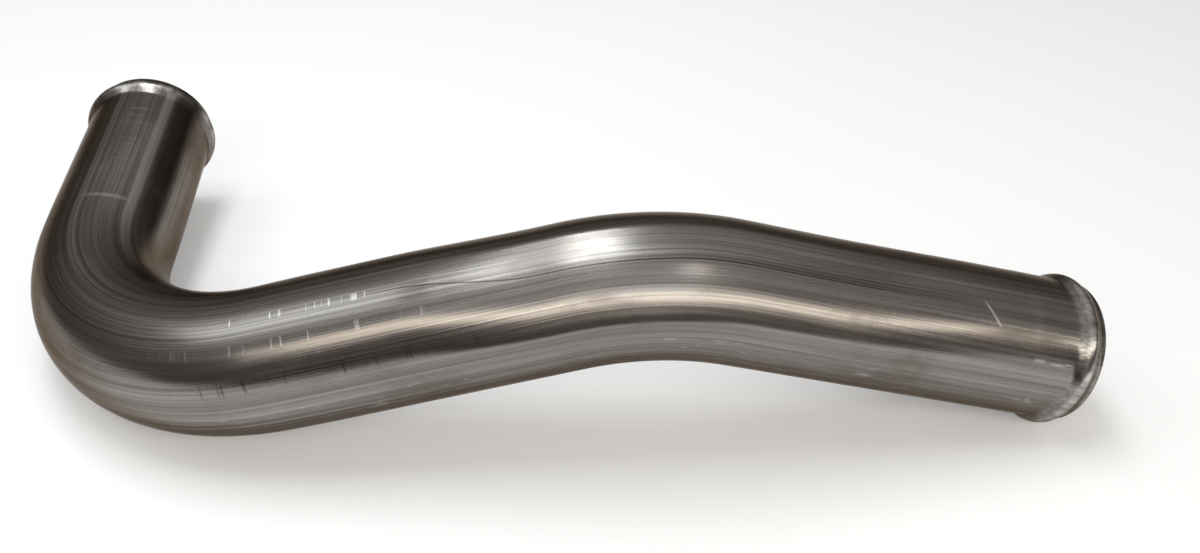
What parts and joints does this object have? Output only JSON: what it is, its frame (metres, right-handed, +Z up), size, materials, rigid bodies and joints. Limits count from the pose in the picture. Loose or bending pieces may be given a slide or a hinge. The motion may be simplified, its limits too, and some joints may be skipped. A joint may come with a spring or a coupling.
{
  "type": "coolant tube",
  "caption": "Bent round steel coolant tube with a square elbow, a shallow press bend and a rolled hose bead at each open end.",
  "frame": {"origin": "bottom centre of the tube's box as it lies at rest", "axes": "+Z up, +X along the middle run seen from above, towards the end past the press bend, +Y towards the end past the elbow"},
  "size_m": [0.5012, 0.247, 0.1124],
  "materials": {
    "drawn_steel": "satin"
  },
  "bodies": {
    "root": {"coolant_tube": "drawn_steel"}
  },
  "joints": []
}
